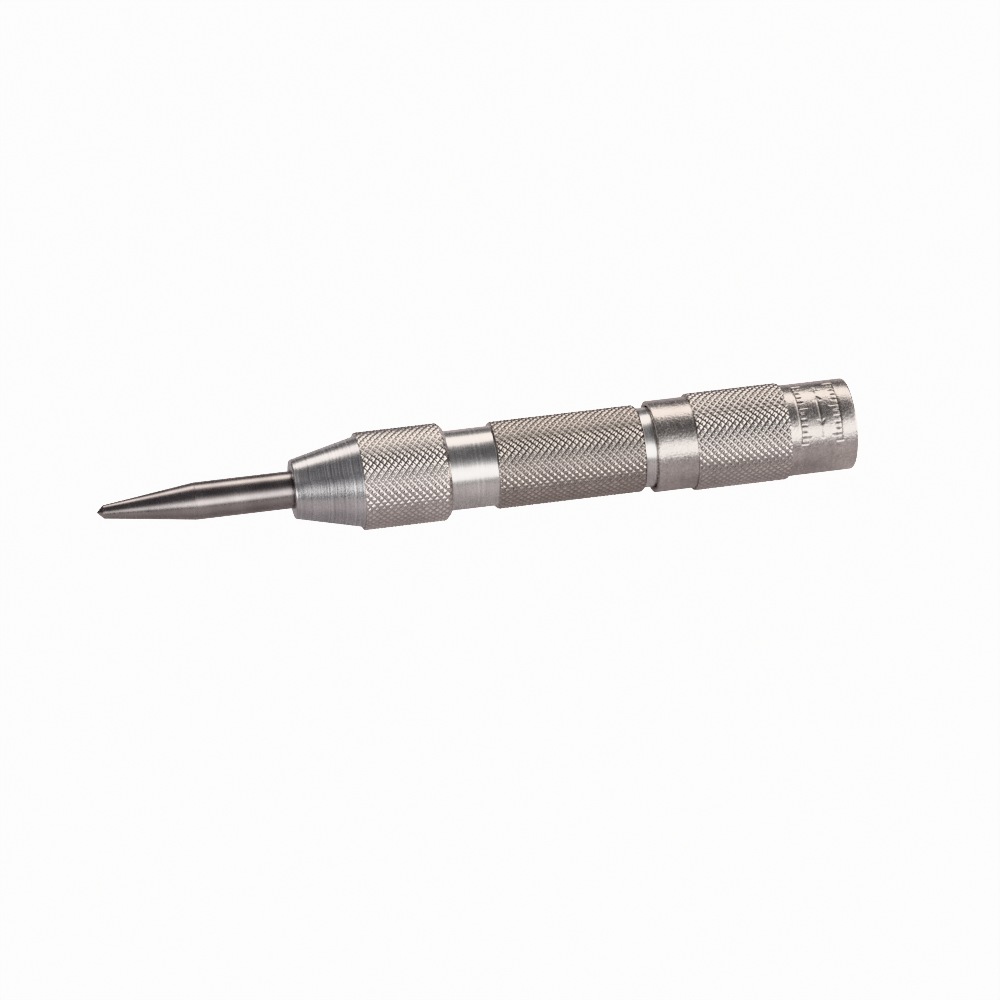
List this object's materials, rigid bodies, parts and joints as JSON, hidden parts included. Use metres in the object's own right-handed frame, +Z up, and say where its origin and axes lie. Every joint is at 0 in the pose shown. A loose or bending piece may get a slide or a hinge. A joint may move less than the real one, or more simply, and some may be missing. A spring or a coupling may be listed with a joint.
{
  "type": "automatic center punch",
  "caption": "Spring-loaded automatic center punch with a tapered point, coned and knurled nose cap, knurled grip and a screwed knurled cap that sets the blow.",
  "frame": {"origin": "under the middle of the tool's length, on the surface it lies on", "axes": "+X along the tool from the point to the adjusting cap, +Z up, the tool's axis 8.1 mm above the surface"},
  "size_m": [0.125, 0.0162, 0.0162],
  "materials": {
    "body_steel": "satin turned and knurled steel",
    "hardened_steel": "ground, hardened and lightly darkened",
    "ground_steel": "fine ground",
    "spring_steel": "drawn wire, oiled"
  },
  "bodies": {
    "barrel": {"body": "body_steel", "nose_cap": "body_steel", "guide_bush": "ground_steel", "return_spring": "spring_steel", "main_spring": "spring_steel"},
    "point": {"punch_point": "hardened_steel", "plunger": "ground_steel", "drive_stem": "ground_steel"},
    "hammer": {"hammer": "hardened_steel", "latch_spring": "spring_steel", "latch_spring_screw": "hardened_steel"},
    "latch": {"release_latch": "ground_steel"},
    "seat": {"spring_seat": "ground_steel"},
    "cap": {"adjusting_cap": "body_steel"}
  },
  "joints": [
    {"name": "point_slide", "type": "slide", "parent": "barrel", "child": "point", "axis": [1, 0, 0], "range_m": [0, 0.008], "stiffness_N_per_m": 3000, "springref_m": -0.003, "deforming": ["return_spring", "main_spring"]},
    {"name": "hammer_slide", "type": "slide", "parent": "barrel", "child": "hammer", "axis": [1, 0, 0], "range_m": [0, 0.008]},
    {"name": "latch_slide", "type": "slide", "parent": "hammer", "child": "latch", "axis": [0, 0, -1], "range_m": [0, 0.0008], "deforming": ["latch_spring"]},
    {"name": "cap_advance", "type": "slide", "parent": "barrel", "child": "seat", "axis": [1, 0, 0], "range_m": [-0.0015, 0.004]},
    {"name": "cap_turn", "type": "hinge", "parent": "seat", "child": "cap", "pos_m": [0, 0, 0.0081], "axis": [1, 0, 0], "range_deg": [-540, 1440]}
  ],
  "couplings": [
    {"joint": "hammer_slide", "follows": "point_slide", "ratio": 1},
    {"joint": "latch_slide", "follows": "point_slide", "ratio": 0.1},
    {"joint": "cap_turn", "follows": "cap_advance", "rad_per_m": 6283.2}
  ]
}
